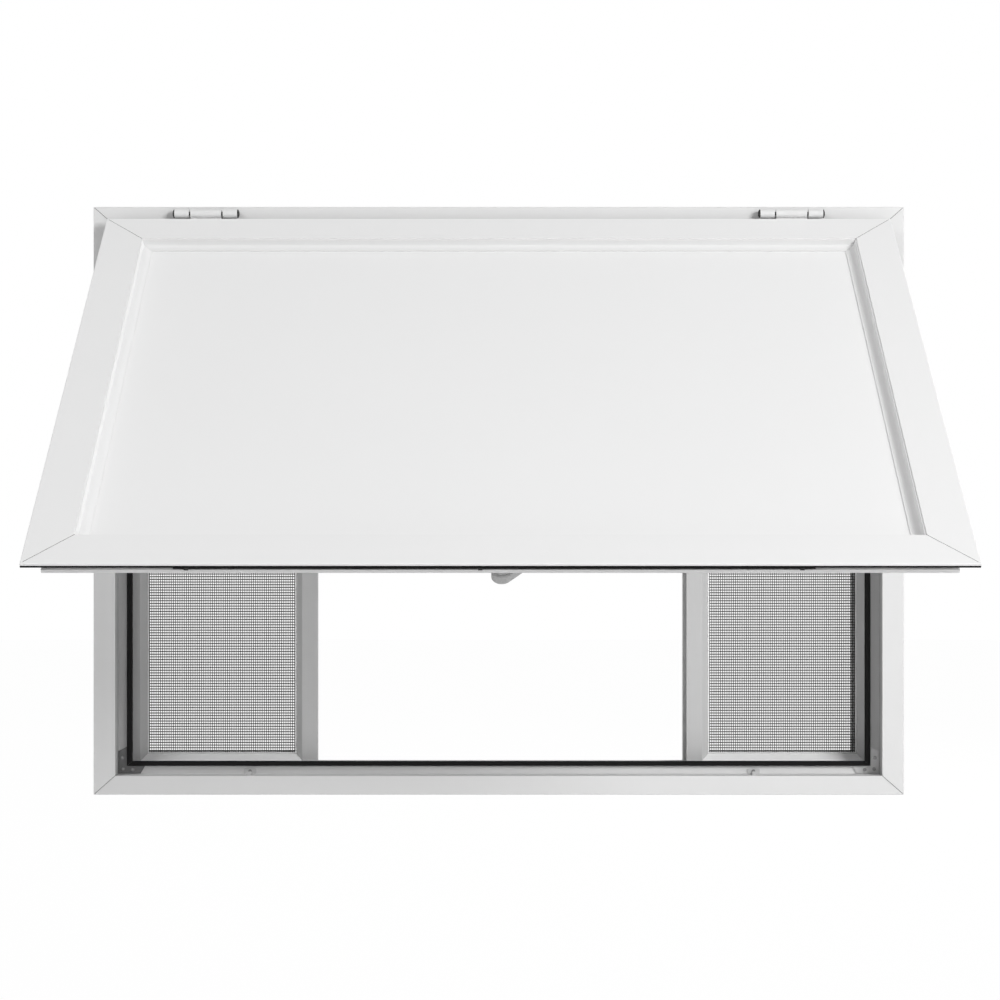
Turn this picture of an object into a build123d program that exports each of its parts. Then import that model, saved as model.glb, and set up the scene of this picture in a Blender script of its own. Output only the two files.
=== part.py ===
# Concession window: a flanged aluminium frame with a top hinged awning hatch and four insect screens.
# Millimetres. X runs to the right, Y from the outside into the wall, Z up.
# The origin is the middle of the sill flange's back face, where the frame meets the wall.
import os
from math import cos, radians, sin

from build123d import *

# Fixed frame
FRAME_WIDTH = 1296.0
FRAME_HEIGHT = 940.0
ORIGIN_ABOVE_EDGE = 14.0
FLANGE_THICKNESS = 2.0
WALL_THICKNESS = 2.0
JAMB_REVEAL = 34.5
JAMB_GASKET_SEAT = 49.3
JAMB_LEDGE = 58.0
LEVEL_TO_JAMB = 0.875
LEDGE_DEPTH = 33.0
FIN_THICKNESS = 2.0
TRACK_SINK = 12.8
TRACK_FIN_REACH = 16.0
LEDGE_TO_TRACK = 28.0
FLANGE_EDGE_CHAMFER = 0.6
MITRE_GAP = 0.15

# Ledge gasket
GASKET_CLEARANCE = 0.4
GASKET_ROUND = 2.0

# Insect screens
SCREENS_OVERLAP = 2.2
SCREEN_DEPTH = 16.0
SCREEN_FLAT = 25.2
SCREEN_BEVEL = 10.0
SCREEN_WALL = 1.8
MESH_RECESS = 12.0
MESH_THICKNESS = 0.6
MESH_GROOVE = 0.8
MESH_GRIP = 4.5
MESH_COLUMNS = 4
MESH_ROWS = 10
MESH_BAR = 4.0
TRACK_PLAY = 1.5
SILL_RIB_HEIGHT = 3.3
SILL_RIB_WIDTH = 3.0
HEAD_LIFT_PLAY = 3.0
LEFT_FRONT_GAP = 18.4
LEFT_REAR_GAP = 16.6
RIGHT_FRONT_GAP = 6.9
RIGHT_REAR_GAP = 11.2

# Awning hatch
HATCH_OPEN_ANGLE = 53.8
JAMB_FLANGE_SHOWN = 24.3
SILL_FLANGE_SHOWN = 16.6
HATCH_EDGE_ROUND = 1.2
RAIL_FACE = 61.8
LIP_WIDTH = 21.6
LIP_THICKNESS = 3.6
PLUG_DEPTH = 32.0
RAIL_WALL = 2.0
PANEL_RECESS = 15.0
PANEL_THICKNESS = 12.0
PANEL_PLAY = 1.0
BACK_LEG_REACH = 15.0
BACK_LEG_THICKNESS = 3.0
BEAD_WIDTH = 17.4
BEAD_SETBACK = 1.5
BEAD_NIB = 2.2
BEAD_STEP_WIDTH = 4.0
BEAD_STEP_DEPTH = 9.3
BEAD_HOLLOW = 1.2
BEAD_EDGE_WIDTH = 1.0
BEAD_EDGE_HEIGHT = 1.2
SEAL_HEIGHT = 3.1
SEAL_WIDTH = 10.0
SEAL_CLEARANCE = 0.4

# Hinges
HINGE_FROM_EDGE = 156.7
HINGE_LENGTH = 100.0
HINGE_MIDDLE = 49.0
HINGE_GAP = 2.6
KNUCKLE_RADIUS = 7.2
PIN_RADIUS = 3.0
PIN_PLAY = 0.05
PIN_HEAD_RADIUS = 6.8
PIN_HEAD_HEIGHT = 3.0
LEAF_THICKNESS = 1.6
HINGE_BELOW_TOP = 12.0
HINGE_BEFORE_FLANGE = 8.2
HATCH_BELOW_PIN = 13.2
LEAF_CLEARANCE = 1.8

# Lock
STUD_DEPTH = 22.0
STUD_WIDTH = 6.0
STUD_THICKNESS = 4.0
STUD_REACH = 5.0
GROOVE_MOUTH = 10.0
LOCK_BAR_WIDTH = 12.4
LOCK_BAR_HEIGHT = 3.0
LOCK_BAR_PLAY = 0.3
LOCK_BAR_OVERRUN = 18.0
KEEPER_LEFT_FROM_EDGE = 247.3
KEEPER_RIGHT_FROM_EDGE = 237.2
STUD_LEFT_OFFSET = 10.3
STUD_RIGHT_OFFSET = 15.8
STUD_MIDDLE_X = -26.0
KEEPER_PLATE_WIDTH = 20.0
KEEPER_PLATE_HEIGHT = 8.0
KEEPER_ROUND = 2.0
KEEPER_THICKNESS = 1.6
KEEPER_TOOTH_WIDTH = 8.0
KEEPER_TOOTH_HEIGHT = 4.0
KEEPER_TOOTH_GAP = 1.0

# Handle
HANDLE_X = 2.0
HANDLE_ABOVE_EDGE = 55.0
HANDLE_BASE_LENGTH = 62.0
HANDLE_BASE_WIDTH = 21.0
HANDLE_BASE_THICKNESS = 4.0
HANDLE_BASE_CHAMFER = 1.0
HANDLE_HUB_RADIUS = 14.0
HANDLE_HUB_HEIGHT = 32.0
HANDLE_NECK_RADIUS = 10.0
HANDLE_REACH = 92.0
HANDLE_TIP_RADIUS = 9.0
HANDLE_GRIP_THICKNESS = 14.0
HANDLE_ROUND = 4.0
HANDLE_CHAMFER = 1.5
HANDLE_REST_ANGLE = 45.0
HANDLE_PLAY = 0.3
SPINDLE_RADIUS = 4.0

# Corner brackets
BRACKET_LEG = 43.0
BRACKET_THICKNESS = 2.0
BRACKET_EDGE_PLAY = 0.4
BRACKET_CHAMFER = 7.0

FRAME_FRONT = -FLANGE_THICKNESS
FRAME_BOTTOM = -ORIGIN_ABOVE_EDGE
FRAME_TOP = FRAME_BOTTOM + FRAME_HEIGHT
LEDGE_FACE = FRAME_FRONT + LEDGE_DEPTH
LEVEL_REVEAL = JAMB_REVEAL * LEVEL_TO_JAMB
JAMB_TRACK_FLOOR = JAMB_REVEAL - TRACK_SINK
LEVEL_TRACK_FLOOR = JAMB_TRACK_FLOOR * LEVEL_TO_JAMB
SILL_FLOOR = FRAME_BOTTOM + LEVEL_REVEAL
HEAD_CEILING = FRAME_TOP - LEVEL_REVEAL
TRACKS_END = FRAME_WIDTH / 2 - JAMB_TRACK_FLOOR
SCREEN_WIDTH = (2 * TRACKS_END + SCREENS_OVERLAP) / 4
TRACK_WIDTH = SCREEN_DEPTH + 2 * TRACK_PLAY
FRONT_TRACK = LEDGE_DEPTH + FIN_THICKNESS + LEDGE_TO_TRACK + FIN_THICKNESS
REAR_TRACK = FRONT_TRACK + TRACK_WIDTH + FIN_THICKNESS
FRAME_DEPTH = REAR_TRACK + TRACK_WIDTH + FIN_THICKNESS
PIN_Y = FRAME_FRONT - HINGE_BEFORE_FLANGE
PIN_Z = FRAME_TOP - HINGE_BELOW_TOP
# On the closed hatch, measured from the hinge pin
SEAL_BACK = HINGE_BEFORE_FLANGE - SEAL_CLEARANCE
HATCH_FACE = SEAL_BACK - SEAL_HEIGHT - LIP_THICKNESS
HATCH_WIDTH = FRAME_WIDTH - 2 * JAMB_FLANGE_SHOWN
HATCH_HEIGHT = FRAME_HEIGHT - HINGE_BELOW_TOP - HATCH_BELOW_PIN - SILL_FLANGE_SHOWN
HATCH_BOTTOM = -HATCH_BELOW_PIN - HATCH_HEIGHT
GASKET_HEIGHT = LEDGE_FACE - PIN_Y - HATCH_FACE - PLUG_DEPTH - GASKET_CLEARANCE
KEEPER_LEFT_X = KEEPER_LEFT_FROM_EDGE - FRAME_WIDTH / 2
KEEPER_RIGHT_X = FRAME_WIDTH / 2 - KEEPER_RIGHT_FROM_EDGE
STUD_PLACES = (KEEPER_LEFT_X - STUD_LEFT_OFFSET, STUD_MIDDLE_X, KEEPER_RIGHT_X - STUD_RIGHT_OFFSET)
GROOVE_HEIGHT = LOCK_BAR_HEIGHT + 2 * LOCK_BAR_PLAY
HATCH_PLACE = Location((0, PIN_Y, PIN_Z), (-HATCH_OPEN_ANGLE, 0, 0))

os.makedirs("parts", exist_ok=True)


def write(part, name):
    """Label a finished piece and write it as one STEP file."""
    part.label = name
    export_step(part, f"parts/{name}.step")


def on_hatch(plane):
    """A plane given on the closed hatch, from the hinge pin, carried to where the hatch stands open."""
    return Plane(HATCH_PLACE * plane.location)


def side_plane(side, width, height, bottom, front):
    """Section plane of one side of a rectangular ring: x inward from its edge, y back from its front."""
    corners = {
        "bottom": ((width / 2, front, bottom), (0, 0, 1), (-1, 0, 0)),
        "left": ((-width / 2, front, bottom), (1, 0, 0), (0, 0, 1)),
        "top": ((-width / 2, front, bottom + height), (0, 0, -1), (1, 0, 0)),
        "right": ((width / 2, front, bottom + height), (-1, 0, 0), (0, 0, -1)),
    }
    origin, inward, along = corners[side]
    return Plane(origin=origin, x_dir=inward, z_dir=along)


def mitre_planes(section, length, run):
    """The two mitre planes of a side, each moving along it by run for every millimetre inward."""
    near = section.origin + section.z_dir * MITRE_GAP
    far = section.origin + section.z_dir * (length - MITRE_GAP)
    start = Plane(origin=near, x_dir=section.y_dir, z_dir=section.z_dir - section.x_dir * run)
    end = Plane(origin=far, x_dir=section.y_dir, z_dir=-section.z_dir - section.x_dir * run)
    return start, end


def side_length(side, width, height):
    return width if side in ("top", "bottom") else height


def frame_run(side):
    return 1 / LEVEL_TO_JAMB if side in ("top", "bottom") else LEVEL_TO_JAMB


def inset_share(side):
    return LEVEL_TO_JAMB if side in ("top", "bottom") else 1.0


def make_frame_member(side, name):
    """One mitred side of the fixed frame: flange, wall, ledge and the fins of two screen tracks."""
    section = side_plane(side, FRAME_WIDTH, FRAME_HEIGHT, FRAME_BOTTOM, FRAME_FRONT)
    share = inset_share(side)
    length = side_length(side, FRAME_WIDTH, FRAME_HEIGHT)
    reveal = JAMB_REVEAL * share
    wall = WALL_THICKNESS * share
    floor = JAMB_TRACK_FLOOR * share
    fin_edge = reveal + TRACK_FIN_REACH * share
    fins = [
        FRONT_TRACK - FIN_THICKNESS,
        FRONT_TRACK + TRACK_WIDTH,
        REAR_TRACK + TRACK_WIDTH,
    ]
    with BuildPart() as member:
        with BuildSketch(section):
            with BuildLine():
                Polyline(
                    (0, FLANGE_THICKNESS),
                    (0, FLANGE_EDGE_CHAMFER),
                    (FLANGE_EDGE_CHAMFER, 0),
                    (reveal, 0),
                    (reveal, LEDGE_DEPTH),
                    (JAMB_LEDGE * share, LEDGE_DEPTH),
                    (JAMB_LEDGE * share, LEDGE_DEPTH + FIN_THICKNESS),
                    (floor, LEDGE_DEPTH + FIN_THICKNESS),
                    (floor, FRAME_DEPTH),
                    (floor - wall, FRAME_DEPTH),
                    (floor - wall, LEDGE_DEPTH),
                    (reveal - wall, LEDGE_DEPTH),
                    (reveal - wall, FLANGE_THICKNESS),
                    close=True,
                )
            make_face()
            for fin in fins:
                with Locations((floor - wall / 2, fin)):
                    Rectangle(fin_edge - floor + wall / 2, FIN_THICKNESS, align=(Align.MIN, Align.MIN))
        extrude(amount=length)
        if side == "bottom":
            with BuildSketch(section):
                for track in (FRONT_TRACK, REAR_TRACK):
                    with Locations((floor, track + TRACK_WIDTH / 2)):
                        Rectangle(SILL_RIB_HEIGHT, SILL_RIB_WIDTH, align=(Align.MIN, Align.CENTER))
            extrude(amount=length)
        for plane in mitre_planes(section, length, frame_run(side)):
            split(bisect_by=plane, keep=Keep.TOP)
    write(member.part, name)


def make_gasket(sides, name):
    """Two facing runs of the black ledge gasket, mitred at the corners."""
    with BuildPart() as gasket:
        for side in sides:
            section = side_plane(side, FRAME_WIDTH, FRAME_HEIGHT, FRAME_BOTTOM, FRAME_FRONT)
            share = inset_share(side)
            length = side_length(side, FRAME_WIDTH, FRAME_HEIGHT)
            width = (JAMB_LEDGE - JAMB_GASKET_SEAT) * share
            with BuildPart(mode=Mode.PRIVATE) as run:
                with BuildSketch(section) as profile:
                    with Locations((JAMB_GASKET_SEAT * share + width / 2, LEDGE_DEPTH - GASKET_HEIGHT / 2)):
                        Rectangle(width, GASKET_HEIGHT)
                    fillet(profile.vertices().group_by(Axis.Y)[0], GASKET_ROUND)
                extrude(amount=length)
                for plane in mitre_planes(section, length, frame_run(side)):
                    split(bisect_by=plane, keep=Keep.TOP)
            add(run.part)
    write(gasket.part, name)


def make_bracket(left, top, name):
    """Flat L plate with chamfered leg ends, lying on the ledge in one corner of the recess."""
    jamb_width = JAMB_GASKET_SEAT - JAMB_REVEAL - 2 * BRACKET_EDGE_PLAY
    level_width = jamb_width * LEVEL_TO_JAMB
    corner_x = FRAME_WIDTH / 2 - JAMB_REVEAL - BRACKET_EDGE_PLAY
    corner_z = SILL_FLOOR + BRACKET_EDGE_PLAY
    with BuildPart() as bracket:
        with BuildSketch(Plane(origin=(-corner_x, LEDGE_FACE, corner_z), x_dir=(1, 0, 0), z_dir=(0, -1, 0))):
            with BuildLine():
                Polyline(
                    (0, 0),
                    (BRACKET_LEG - BRACKET_CHAMFER, 0),
                    (BRACKET_LEG, level_width),
                    (jamb_width, level_width),
                    (jamb_width, BRACKET_LEG),
                    (0, BRACKET_LEG - BRACKET_CHAMFER),
                    close=True,
                )
            make_face()
        extrude(amount=BRACKET_THICKNESS)
    part = bracket.part
    if not left:
        part = part.mirror(Plane.YZ)
    if top:
        part = part.mirror(Plane.XY.offset((FRAME_BOTTOM + FRAME_TOP) / 2))
    write(part, name)


def make_keeper(x, name):
    """Keeper on the sill: a screwed plate on the ledge, a foot on the recess floor and an upright tooth."""
    stud_front = PIN_Y + HATCH_FACE + STUD_DEPTH - STUD_THICKNESS / 2
    tooth_back = stud_front - KEEPER_TOOTH_GAP
    foot_length = LEDGE_FACE - tooth_back + KEEPER_THICKNESS
    with BuildPart() as keeper:
        with BuildSketch(Plane(origin=(x, LEDGE_FACE, SILL_FLOOR), x_dir=(1, 0, 0), z_dir=(0, -1, 0))):
            with Locations((0, KEEPER_PLATE_HEIGHT / 2)):
                RectangleRounded(KEEPER_PLATE_WIDTH, KEEPER_PLATE_HEIGHT, KEEPER_ROUND)
        extrude(amount=KEEPER_THICKNESS)
        with BuildSketch(Plane.XY.offset(SILL_FLOOR)):
            with Locations((x, LEDGE_FACE)):
                Rectangle(KEEPER_TOOTH_WIDTH, foot_length, align=(Align.CENTER, Align.MAX))
        extrude(amount=KEEPER_THICKNESS)
        with BuildSketch(Plane.XY.offset(SILL_FLOOR)):
            with Locations((x, tooth_back)):
                Rectangle(KEEPER_TOOTH_WIDTH, KEEPER_THICKNESS, align=(Align.CENTER, Align.MAX))
        extrude(amount=KEEPER_THICKNESS + KEEPER_TOOTH_HEIGHT)
    write(keeper.part, name)


def make_screen(left_edge, track, name):
    """One sliding insect screen: a pair of stiles, a pair of rails and the grid that stands for its mesh."""
    bottom = FRAME_BOTTOM + LEVEL_TRACK_FLOOR + SILL_RIB_HEIGHT
    height = FRAME_TOP - LEVEL_TRACK_FLOOR - HEAD_LIFT_PLAY - bottom
    front = FRAME_FRONT + track + TRACK_PLAY
    centre = left_edge + SCREEN_WIDTH / 2
    member_width = SCREEN_FLAT + SCREEN_BEVEL
    groove_depth = MESH_GRIP + MESH_GROOVE
    for pair, sides in (("stiles", ("left", "right")), ("rails", ("bottom", "top"))):
        with BuildPart() as members:
            for side in sides:
                section = side_plane(side, SCREEN_WIDTH, height, bottom, front)
                section.origin += Vector(centre, 0, 0)
                length = side_length(side, SCREEN_WIDTH, height)
                with BuildPart(mode=Mode.PRIVATE) as member:
                    with BuildSketch(section):
                        with BuildLine():
                            Polyline(
                                (0, 0),
                                (SCREEN_FLAT, 0),
                                (member_width, MESH_RECESS - MESH_GROOVE),
                                (member_width, SCREEN_DEPTH),
                                (0, SCREEN_DEPTH),
                                close=True,
                            )
                        make_face()
                        with Locations((SCREEN_WALL, SCREEN_WALL)):
                            Rectangle(
                                SCREEN_FLAT - 2 * SCREEN_WALL,
                                SCREEN_DEPTH - 2 * SCREEN_WALL,
                                align=(Align.MIN, Align.MIN),
                                mode=Mode.SUBTRACT,
                            )
                        with Locations((member_width, MESH_RECESS)):
                            Rectangle(
                                groove_depth,
                                MESH_GROOVE,
                                align=(Align.MAX, Align.MIN),
                                mode=Mode.SUBTRACT,
                            )
                    extrude(amount=length)
                    for plane in mitre_planes(section, length, 1.0):
                        split(bisect_by=plane, keep=Keep.TOP)
                add(member.part)
        write(members.part, f"{name}_{pair}")
    opening_width = SCREEN_WIDTH - 2 * member_width
    opening_height = height - 2 * member_width
    cell_width = (opening_width - (MESH_COLUMNS + 1) * MESH_BAR) / MESH_COLUMNS
    cell_height = (opening_height - (MESH_ROWS + 1) * MESH_BAR) / MESH_ROWS
    mesh_y = front + MESH_RECESS + MESH_GROOVE / 2
    with BuildPart() as mesh:
        with BuildSketch(Plane.XZ.offset(-mesh_y)):
            with Locations((centre, bottom + height / 2)):
                Rectangle(opening_width + 2 * MESH_GRIP, opening_height + 2 * MESH_GRIP)
                with GridLocations(cell_width + MESH_BAR, cell_height + MESH_BAR, MESH_COLUMNS, MESH_ROWS):
                    Rectangle(cell_width, cell_height, mode=Mode.SUBTRACT)
        extrude(amount=MESH_THICKNESS / 2, both=True)
    write(mesh.part, f"{name}_mesh")


def hatch_side(side):
    """Section plane of one hatch member on the open hatch."""
    return on_hatch(side_plane(side, HATCH_WIDTH, HATCH_HEIGHT, HATCH_BOTTOM, HATCH_FACE))


def make_hatch_member(side, name):
    """One mitred hatch member: sealing lip, hollow plug with a T groove and the leg behind the panel."""
    section = hatch_side(side)
    length = side_length(side, HATCH_WIDTH, HATCH_HEIGHT)
    leg_front = PANEL_RECESS + PANEL_THICKNESS
    groove_width = LOCK_BAR_WIDTH + 2 * LOCK_BAR_PLAY
    groove_floor = LIP_WIDTH + RAIL_WALL + GROOVE_HEIGHT
    inner = RAIL_FACE - RAIL_WALL
    back = PLUG_DEPTH - RAIL_WALL
    shelf = STUD_DEPTH - groove_width / 2 - RAIL_WALL
    with BuildPart() as member:
        with BuildSketch(section) as profile:
            with BuildLine():
                Polyline(
                    (0, LIP_THICKNESS),
                    (0, 0),
                    (RAIL_FACE, 0),
                    (RAIL_FACE, leg_front),
                    (RAIL_FACE + BACK_LEG_REACH, leg_front),
                    (RAIL_FACE + BACK_LEG_REACH, leg_front + BACK_LEG_THICKNESS),
                    (RAIL_FACE, leg_front + BACK_LEG_THICKNESS),
                    (RAIL_FACE, PLUG_DEPTH),
                    (LIP_WIDTH, PLUG_DEPTH),
                    (LIP_WIDTH, LIP_THICKNESS),
                    close=True,
                )
            make_face()
            fillet(profile.vertices().group_by(Axis.X)[0].sort_by(Axis.Y)[0], HATCH_EDGE_ROUND)
            with BuildLine():
                Polyline(
                    (LIP_WIDTH + RAIL_WALL, RAIL_WALL),
                    (inner, RAIL_WALL),
                    (inner, back),
                    (groove_floor + RAIL_WALL, back),
                    (groove_floor + RAIL_WALL, shelf),
                    (LIP_WIDTH + RAIL_WALL, shelf),
                    close=True,
                )
            make_face(mode=Mode.SUBTRACT)
            with Locations((LIP_WIDTH, STUD_DEPTH)):
                Rectangle(RAIL_WALL, GROOVE_MOUTH, align=(Align.MIN, Align.CENTER), mode=Mode.SUBTRACT)
            with Locations((groove_floor, STUD_DEPTH)):
                Rectangle(
                    GROOVE_HEIGHT,
                    groove_width,
                    align=(Align.MAX, Align.CENTER),
                    mode=Mode.SUBTRACT,
                )
        extrude(amount=length)
        for plane in mitre_planes(section, length, 1.0):
            split(bisect_by=plane, keep=Keep.TOP)
        if side == "bottom":
            # clearance hole for the handle's spindle in the back wall
            with BuildSketch(handle_plane(PLUG_DEPTH)):
                Circle(SPINDLE_RADIUS + HANDLE_PLAY)
            extrude(amount=-RAIL_WALL, mode=Mode.SUBTRACT)
    write(member.part, name)


def handle_plane(depth):
    """Plane facing the room through the handle's axis, at a depth behind the hatch's outer face."""
    origin = (HANDLE_X, HATCH_FACE + depth, HATCH_BOTTOM + HANDLE_ABOVE_EDGE)
    return on_hatch(Plane(origin=origin, x_dir=(1, 0, 0), z_dir=(0, 1, 0)))


def make_beads(sides, name):
    """Two facing runs of the moulded bead that holds the panel from the front."""
    step = RAIL_FACE + BEAD_STEP_WIDTH
    edge = RAIL_FACE + BEAD_WIDTH
    cove_end = PANEL_RECESS - BEAD_EDGE_HEIGHT
    with BuildPart() as beads:
        for side in sides:
            section = hatch_side(side)
            length = side_length(side, HATCH_WIDTH, HATCH_HEIGHT)
            with BuildPart(mode=Mode.PRIVATE) as bead:
                with BuildSketch(section):
                    with BuildLine():
                        SagittaArc((step, BEAD_STEP_DEPTH), (edge - BEAD_EDGE_WIDTH, cove_end), BEAD_HOLLOW)
                        Polyline(
                            (edge - BEAD_EDGE_WIDTH, cove_end),
                            (edge, cove_end),
                            (edge, PANEL_RECESS),
                            (RAIL_FACE, PANEL_RECESS),
                            (RAIL_FACE, BEAD_SETBACK),
                            (RAIL_FACE + BEAD_NIB, BEAD_SETBACK),
                            (step, BEAD_STEP_DEPTH),
                        )
                    make_face()
                extrude(amount=length)
                for plane in mitre_planes(section, length, 1.0):
                    split(bisect_by=plane, keep=Keep.TOP)
            add(bead.part)
    write(beads.part, name)


def make_panel():
    """The flat sandwich panel, seated between the beads and the back legs."""
    width = HATCH_WIDTH - 2 * (RAIL_FACE + PANEL_PLAY)
    height = HATCH_HEIGHT - 2 * (RAIL_FACE + PANEL_PLAY)
    front = HATCH_FACE + PANEL_RECESS
    face = Plane(origin=(0, front, HATCH_BOTTOM + HATCH_HEIGHT / 2), x_dir=(1, 0, 0), z_dir=(0, 1, 0))
    with BuildPart() as panel:
        with BuildSketch(on_hatch(face)):
            Rectangle(width, height)
        extrude(amount=PANEL_THICKNESS)
    write(panel.part, "hatch_panel")


def make_seal(side, name):
    """One run of the black seal behind the lip; the top run leaves room for the hinge leaves."""
    section = hatch_side(side)
    length = side_length(side, HATCH_WIDTH, HATCH_HEIGHT)
    with BuildPart() as seal:
        with BuildSketch(section):
            with Locations((0, LIP_THICKNESS)):
                Rectangle(SEAL_WIDTH, SEAL_HEIGHT, align=(Align.MIN, Align.MIN))
        extrude(amount=length)
        for plane in mitre_planes(section, length, 1.0):
            split(bisect_by=plane, keep=Keep.TOP)
        if side == "top":
            top_face = on_hatch(Plane.XY.offset(-HATCH_BELOW_PIN))
            with BuildSketch(top_face):
                with Locations(*[(x, HATCH_FACE + LIP_THICKNESS + SEAL_HEIGHT / 2) for x in hinge_centres()]):
                    Rectangle(HINGE_LENGTH + 2 * HINGE_GAP, SEAL_HEIGHT)
            extrude(amount=-SEAL_WIDTH, mode=Mode.SUBTRACT)
    write(seal.part, name)


def hinge_centres():
    centre = HATCH_WIDTH / 2 - HINGE_FROM_EDGE
    return (-centre, centre)


def make_frame_leaf(x, name):
    """Fixed hinge leaf: two outer knuckles and a plate on the head flange, notched for the middle knuckle."""
    end_length = (HINGE_LENGTH - HINGE_MIDDLE) / 2 - HINGE_GAP
    offset = HINGE_MIDDLE / 2 + HINGE_GAP + end_length / 2
    notch = KNUCKLE_RADIUS + LEAF_CLEARANCE
    plate_bottom = HEAD_CEILING
    with BuildPart() as leaf:
        for side in (-1, 1):
            with BuildSketch(Plane.YZ.offset(x + side * offset)):
                with Locations((PIN_Y, PIN_Z)):
                    Circle(KNUCKLE_RADIUS)
            extrude(amount=end_length / 2, both=True)
        with BuildSketch(Plane.XZ.offset(-FRAME_FRONT)):
            with Locations((x, plate_bottom)):
                Rectangle(HINGE_LENGTH, PIN_Z - plate_bottom, align=(Align.CENTER, Align.MIN))
            with Locations((x, PIN_Z - notch)):
                Rectangle(
                    HINGE_MIDDLE + 2 * HINGE_GAP,
                    notch,
                    align=(Align.CENTER, Align.MIN),
                    mode=Mode.SUBTRACT,
                )
        extrude(amount=LEAF_THICKNESS)
        with BuildSketch(Plane.YZ.offset(x)):
            with Locations((PIN_Y, PIN_Z)):
                Circle(PIN_RADIUS + PIN_PLAY)
        extrude(amount=HINGE_LENGTH, both=True, mode=Mode.SUBTRACT)
    write(leaf.part, name)


def make_hatch_leaf(x, name):
    """Moving hinge leaf: the middle knuckle and a plate behind the top of the hatch's lip."""
    plate_front = HATCH_FACE + LIP_THICKNESS
    shoulder = -(KNUCKLE_RADIUS + LEAF_CLEARANCE)
    plate_end = -HATCH_BELOW_PIN - LIP_WIDTH + PIN_PLAY
    front_plane = Plane(origin=(x, plate_front, 0), x_dir=(1, 0, 0), z_dir=(0, -1, 0))
    with BuildPart() as leaf:
        with BuildSketch(on_hatch(Plane.YZ.offset(x))):
            Circle(KNUCKLE_RADIUS)
        extrude(amount=HINGE_MIDDLE / 2, both=True)
        with BuildSketch(on_hatch(front_plane)):
            with Locations((0, (shoulder + plate_end) / 2)):
                Rectangle(HINGE_LENGTH, shoulder - plate_end)
            with Locations((0, shoulder / 2)):
                Rectangle(HINGE_MIDDLE, -shoulder)
        extrude(amount=-LEAF_THICKNESS)
        with BuildSketch(on_hatch(Plane.YZ.offset(x))):
            Circle(PIN_RADIUS + PIN_PLAY)
        extrude(amount=HINGE_MIDDLE, both=True, mode=Mode.SUBTRACT)
    write(leaf.part, name)


def make_pin(x, name):
    """Hinge pin with a domed head seated on each end knuckle."""
    half = HINGE_LENGTH / 2
    with BuildPart() as pin:
        with BuildSketch(Plane(origin=(x, PIN_Y, PIN_Z), x_dir=(1, 0, 0), z_dir=(0, -1, 0))):
            with BuildLine():
                Polyline(
                    (0, 0),
                    (0, PIN_RADIUS),
                    (half, PIN_RADIUS),
                    (half, PIN_HEAD_RADIUS),
                    (half + PIN_HEAD_HEIGHT / 2, PIN_HEAD_RADIUS),
                    (half + PIN_HEAD_HEIGHT, PIN_HEAD_RADIUS / 2),
                    (half + PIN_HEAD_HEIGHT, 0),
                    close=True,
                )
            make_face()
            mirror(about=Plane.YZ)
        revolve(axis=Axis((x, PIN_Y, PIN_Z), (1, 0, 0)))
    write(pin.part, name)


def make_lock_bar():
    """Sliding bar in the bottom rail's T groove with three studs that stand out through its mouth."""
    bar_bottom = HATCH_BOTTOM + LIP_WIDTH + RAIL_WALL + LOCK_BAR_PLAY
    first, _, last = STUD_PLACES
    depth = HATCH_FACE + STUD_DEPTH
    with BuildPart() as bar:
        with BuildSketch(on_hatch(Plane.XY.offset(bar_bottom))):
            with Locations(((first + last) / 2, depth)):
                Rectangle(last - first + 2 * LOCK_BAR_OVERRUN, LOCK_BAR_WIDTH)
        extrude(amount=LOCK_BAR_HEIGHT)
        with BuildSketch(on_hatch(Plane.XY.offset(bar_bottom))):
            with Locations(*[(x, depth) for x in STUD_PLACES]):
                Rectangle(STUD_WIDTH, STUD_THICKNESS)
        extrude(amount=-(RAIL_WALL + LOCK_BAR_PLAY + STUD_REACH))
    write(bar.part, "lock_bar")


def make_handle():
    """Handle: a base plate on the back of the bottom rail and a tapered turning lever with its spindle."""
    into_room = Axis(handle_plane(0).origin, handle_plane(0).z_dir)
    with BuildPart() as base:
        with BuildSketch(handle_plane(PLUG_DEPTH)):
            SlotOverall(HANDLE_BASE_LENGTH, HANDLE_BASE_WIDTH)
        extrude(amount=HANDLE_BASE_THICKNESS)
        chamfer(base.edges().group_by(into_room)[-1], HANDLE_BASE_CHAMFER)
        with BuildSketch(handle_plane(PLUG_DEPTH)):
            Circle(SPINDLE_RADIUS + HANDLE_PLAY)
        extrude(amount=HANDLE_BASE_THICKNESS, mode=Mode.SUBTRACT)
    write(base.part, "handle_base")
    hub_bottom = PLUG_DEPTH + HANDLE_BASE_THICKNESS + HANDLE_PLAY
    neck_height = HANDLE_HUB_HEIGHT - HANDLE_GRIP_THICKNESS
    # the sketch plane's own y runs down the hatch, so a lever that points up has a minus angle there
    turn = radians(-HANDLE_REST_ANGLE)
    tip = (HANDLE_REACH * cos(turn), HANDLE_REACH * sin(turn))
    with BuildPart() as lever:
        with BuildSketch(handle_plane(hub_bottom + neck_height)):
            Circle(HANDLE_HUB_RADIUS)
            with Locations(tip):
                Circle(HANDLE_TIP_RADIUS)
            make_hull()
        extrude(amount=HANDLE_GRIP_THICKNESS)
        fillet(lever.edges().group_by(into_room)[-1], HANDLE_ROUND)
        chamfer(lever.edges().group_by(into_room)[0], HANDLE_CHAMFER)
        with BuildSketch(handle_plane(hub_bottom)):
            Circle(HANDLE_NECK_RADIUS)
        extrude(amount=neck_height)
        with BuildSketch(handle_plane(hub_bottom)):
            Circle(SPINDLE_RADIUS)
        extrude(amount=-(HANDLE_PLAY + HANDLE_BASE_THICKNESS + RAIL_WALL + SPINDLE_RADIUS))
    write(lever.part, "handle_lever")


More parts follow.
